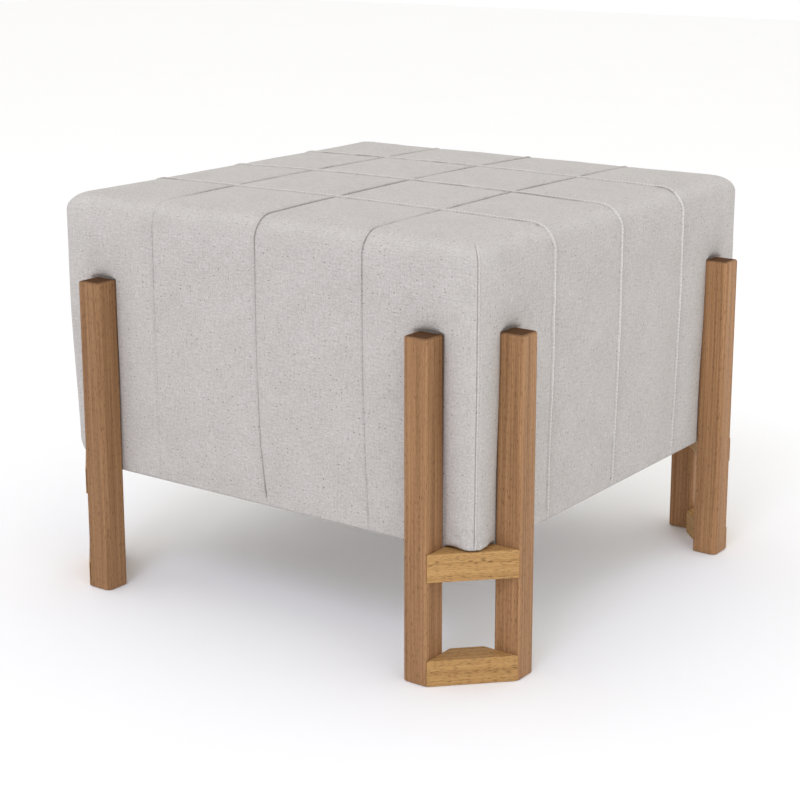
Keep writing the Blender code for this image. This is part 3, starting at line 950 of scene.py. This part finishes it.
def linen_material():
    """The cover's cloth. The mesh's own attributes say where painted shade and painted highlight go.
    """
    material, tree, shader = start_material("oatmeal_linen")
    plan = add_node(tree, "UVMap", uv_map="cloth_plan").outputs[0]
    cloth = use_group(tree, LINEN, {
        "Plan": plan, "Thread Pitch": 0.0011, "Light Thread": (0.630, 0.598, 0.575, 1),
        "Dark Thread": (0.365, 0.344, 0.324, 1), "Fleck": (0.160, 0.120, 0.100, 1),
        "Fleck Share": 0.85})
    shade = add_node(tree, "Attribute", attribute_name="fold_shade").outputs["Fac"]
    in_fold = mix(tree, 1.0, cloth["Color"], (0.42, 0.39, 0.37, 1), "MULTIPLY")
    colour = mix(tree, times(tree, shade, 0.75), cloth["Color"], in_fold)
    # Painted highlight: the cloth is drawn paler, in uneven specks, where the mesh's highlight
    # attribute says
    highlight_amount = add_node(tree, "Attribute", attribute_name="painted_highlight").outputs["Fac"]
    uneven_highlight = ramp(tree, noise(tree, plan, 420.0), 0.36, 0.58, 0.20, 0.90)
    colour = mix(tree, times(tree, highlight_amount, uneven_highlight), colour, (0.75, 0.735, 0.70, 1))
    feed(tree, shader, {"Base Color": colour, "Roughness": 0.92, "Specular IOR Level": 0.25,
                        "Normal": bumped(tree, cloth["Height"], 0.45, 0.0006),
                        "Sheen Weight": 0.10, "Sheen Roughness": 0.5})
    return material


def thread_material(name, dark, light):
    """Sewing thread, with its twist as a fine bump."""
    material, tree, shader = start_material(name)
    tone = noise(tree, object_place(tree), 900.0)
    feed(tree, shader, {"Base Color": mix(tree, tone, dark, light), "Roughness": 0.7,
                        "Normal": bumped(tree, tone, 0.3, 0.0002)})
    return material


def wood_material(name, tones, turned, is_post):
    """One kind of wood. turned lays the piece's long way along the group's Z.

    A post has dark ends, a paler rim and edges paled by wear; painted light and shade make posts
    further right lighter.
    """
    material, tree, shader = start_material(name)
    place = object_place(tree)
    grain = add_node(tree, "Mapping", {"Vector": place, "Rotation": turned}).outputs[0]
    ends = 0.0
    if is_post:
        handled = use_group(tree, HANDLED_EDGES, {"Place": place})
        normal = add_node(tree, "NewGeometry").outputs["True Normal"]
        upright = calc(tree, "ABSOLUTE", parts_of(tree, normal)[2])
        kept = ramp(tree, handled["Rim"], 0.0, 1.0, 1.0, END_RIM)
        ends = times(tree, ramp(tree, upright, 0.15, 0.85), kept)
    wood = use_group(tree, WOOD, {"Grain": grain, "Across Ends": ends, **tones})
    colour = wood["Color"]
    if is_post:
        pale = tuple(min(1.0, 1.25 * c) for c in tones["Light"][:3]) + (1,)
        colour = mix(tree, times(tree, handled["Mask"], 0.08), colour, pale)
        # Painted light and shade: the posts are drawn darker towards -X and -Y and lighter towards +X
        # and +Y, as the light falls on them
        x, y, _ = parts_of(tree, place)
        level = ramp(tree, calc(tree, "ADD", x, y), -0.5, 0.5, 0.84, 1.05)
        painted_post_light = add_node(tree, "CombineXYZ", {0: level, 1: level, 2: level}).outputs[0]
        colour = mix(tree, 1.0, colour, painted_post_light, "MULTIPLY")
    feed(tree, shader, {"Base Color": colour, "Roughness": wood["Roughness"],
                        "Normal": bumped(tree, wood["Height"], 0.30, 0.0004),
                        "Specular IOR Level": 0.15})
    return material


# -------- the pieces

def build_cover():
    across, up = places_across(), places_up()
    grids = face_grids(across, up)
    box, ways, faces, plans = welded(grids)
    filling = filled_out(across, up, grids, box)
    points, shade, highlit = cover_surface(box, ways, faces, filling)
    mesh = mesh_from("pouf_cover", points, faces)
    layer = mesh.uv_layers.new(name="cloth_plan")
    layer.data.foreach_set("uv", plans.reshape(-1, 2).astype(np.float32).ravel())
    for name, values in (("fold_shade", shade), ("painted_highlight", highlit)):
        attribute = mesh.attributes.new(name, "FLOAT", "POINT")
        attribute.data.foreach_set("value", values.astype(np.float32))
    cover = add_piece("pouf_cover", mesh, linen_material())
    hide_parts("pouf")

    normals = surface_normals(points, faces)
    # The same thread twice: the pale copy, on the side tucks, has painted light in its colour
    plain = thread_material("plain_thread", (0.47, 0.45, 0.43, 1), (0.58, 0.56, 0.54, 1))
    pale = thread_material("thread_with_painted_light", (0.66, 0.645, 0.61, 1), (0.86, 0.845, 0.81, 1))
    lines = (grids, across, up, points, normals)
    for name, rows, thread in (
            ("front_tuck_stitches", tuck_rows(*lines, "x"), plain),
            ("side_tuck_stitches", tuck_rows(*lines, "y"), pale),
            ("corner_stitches", seam_rows(*lines), plain)):
        add_piece(name, thread_mesh(name, rows), thread)


def dress_wood():
    """The CAD meshes of the posts and blocks get their wood. The blocks lie at 45 degrees."""
    lying, half = math.pi / 2, math.pi / 4
    post_wood = wood_material("tan_post_wood", TAN_WOOD, (0.0, 0.0, 0.0), True)
    rising = wood_material("yellow_block_wood", YELLOW_WOOD, (lying, -half, 0.0), False)
    falling = wood_material("yellow_block_wood_turned", YELLOW_WOOD, (lying, half, 0.0), False)
    for name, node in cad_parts.items():
        if name.startswith("post_"):
            node.material_slots[0].material = post_wood
        elif name.endswith(("front_right", "back_left")):
            node.material_slots[0].material = rising
        elif "block" in name:
            node.material_slots[0].material = falling


# -------- floor, light and camera

def area_light(name, power, size, place, aim_height, colour):
    """A round light that looks at a point above the origin."""
    light = bpy.data.lights.new(name, "AREA")
    light.energy, light.shape, light.size, light.color = power, "DISK", size, colour
    back = np.array(place) - (0.0, 0.0, aim_height)
    back /= np.linalg.norm(back)
    right = np.cross((0.0, 0.0, 1.0), back)
    right /= np.linalg.norm(right)
    axes = np.array([right, np.cross(back, right), back, place]).T
    linked(name, light).matrix_world = Matrix([*axes, (0, 0, 0, 1)])


def build_stage():
    edge = np.array([-9.0, 9.0])
    x, y = np.meshgrid(edge, edge, indexing="ij")
    points = np.stack([x.ravel(), y.ravel(), np.full(4, -0.0002)], 1)
    mesh = mesh_from("studio_floor", points, np.array([[0, 2, 3, 1]]))
    material, tree, shader = start_material("pale_paper_floor")
    tone = noise(tree, object_place(tree), 3.0)
    colour = mix(tree, tone, (0.965, 0.970, 0.985, 1), (0.980, 0.985, 0.998, 1))
    feed(tree, shader, {"Base Color": colour, "Roughness": 0.9, "Specular IOR Level": 0.1})
    mesh.materials.append(material)
    floor = linked("studio_floor", mesh)


def build_lights():
    world = bpy.data.worlds.new("studio_air")
    world.use_nodes = True
    tree = world.node_tree
    overhead = ramp(tree, parts_of(tree, object_place(tree))[2], 0.30, 0.85)
    tint = mix(tree, overhead, (1.0, 1.0, 1.0, 1.0), (0.985, 0.970, 0.925, 1.0))
    feed(tree, tree.nodes["Background"], {"Color": tint, "Strength": 1.0})
    area_light("key_front", 78.0, 2.6, (1.3, -4.8, 5.2), 0.25, (0.90, 0.94, 1.22))
    area_light("fill_right", 11.0, 3.1, (5.0, -2.6, 2.6), 0.25, (1.0, 0.98, 0.94))
    area_light("top_soft", 0.8, 2.0, (-0.6, 0.2, 2.8), 0.3, (1.0, 0.985, 0.95))
    scene = bpy.context.scene
    scene.world = world
    scene.view_settings.view_transform = "Standard"
    scene.view_settings.look = "None"


def build_camera():
    """The photograph's camera: turned, pitched and rolled, with a small upward shift."""
    focal_px, image_px = 1825.07, 800.0
    yaw, pitch, roll = (math.radians(a) for a in (35.872, 13.171, -0.028))
    turns = ((yaw, "Z"), (math.pi / 2 - pitch, "X"), (roll, "Z"))
    pan, tilt, bank = (Matrix.Rotation(angle, 4, axis) for angle, axis in turns)
    data = bpy.data.cameras.new("photo_camera")
    data.sensor_width = 36.0
    data.lens = data.sensor_width * focal_px / image_px
    data.shift_y = -0.1
    camera = linked("photo_camera", data)
    camera.matrix_world = Matrix.Translation((1.1985, -1.6779, 0.7684)) @ pan @ tilt @ bank
    bpy.context.scene.camera = camera


build_camera()
build_stage()
build_lights()
build_cover()
dress_wood()
